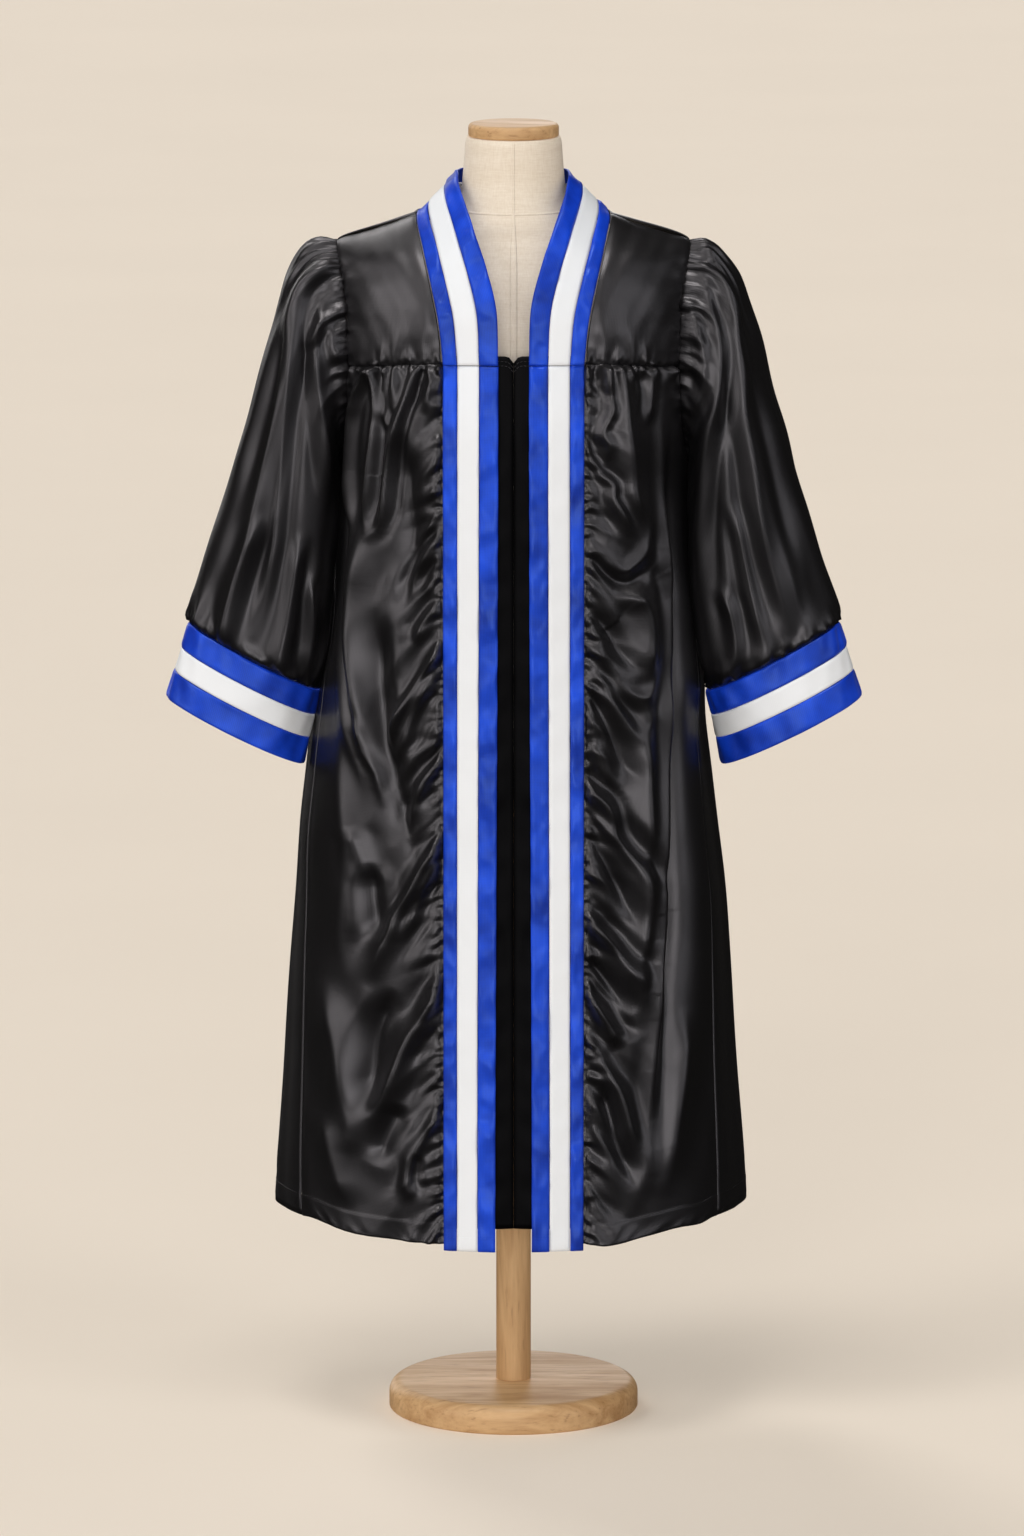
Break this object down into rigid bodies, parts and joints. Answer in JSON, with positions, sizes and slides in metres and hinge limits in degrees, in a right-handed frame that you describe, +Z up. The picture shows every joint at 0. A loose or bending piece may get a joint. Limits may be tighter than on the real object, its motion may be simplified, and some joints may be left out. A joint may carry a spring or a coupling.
{
  "type": "graduation gown on a dress form with stand",
  "caption": "Black satin graduation gown, open-look front with striped bands and cuffs, on a limbless linen dress form and round oak stand.",
  "frame": {"origin": "middle of the stand's flat underside, on the floor", "axes": "+Z up, -Y to the front of the gown, +X to the wearer's left"},
  "size_m": [0.8158, 0.4042, 1.527],
  "materials": {
    "black_satin": "satin",
    "royal_blue_ribbon": "satin",
    "white_ribbon": "satin",
    "natural_linen": "matt",
    "light_oak": "oiled"
  },
  "bodies": {
    "root": {"form_base": "light_oak", "form_post": "light_oak", "form_cap": "light_oak", "form_torso": "natural_linen", "yoke_front_right": "black_satin", "yoke_front_left": "black_satin", "yoke_back": "black_satin", "front_right": "black_satin", "front_left": "black_satin", "back": "black_satin", "insert_right": "black_satin", "insert_left": "black_satin", "sleeve_right": "black_satin", "sleeve_left": "black_satin", "cuff_right_upper": "royal_blue_ribbon", "cuff_right_lower": "royal_blue_ribbon", "cuff_right_white": "white_ribbon", "band_right_outer": "royal_blue_ribbon", "band_right_inner": "royal_blue_ribbon", "band_right_white": "white_ribbon", "cuff_left_upper": "royal_blue_ribbon", "cuff_left_lower": "royal_blue_ribbon", "cuff_left_white": "white_ribbon", "band_left_outer": "royal_blue_ribbon", "band_left_inner": "royal_blue_ribbon", "band_left_white": "white_ribbon", "collar_outer": "royal_blue_ribbon", "collar_inner": "royal_blue_ribbon", "collar_white": "white_ribbon"}
  },
  "joints": []
}
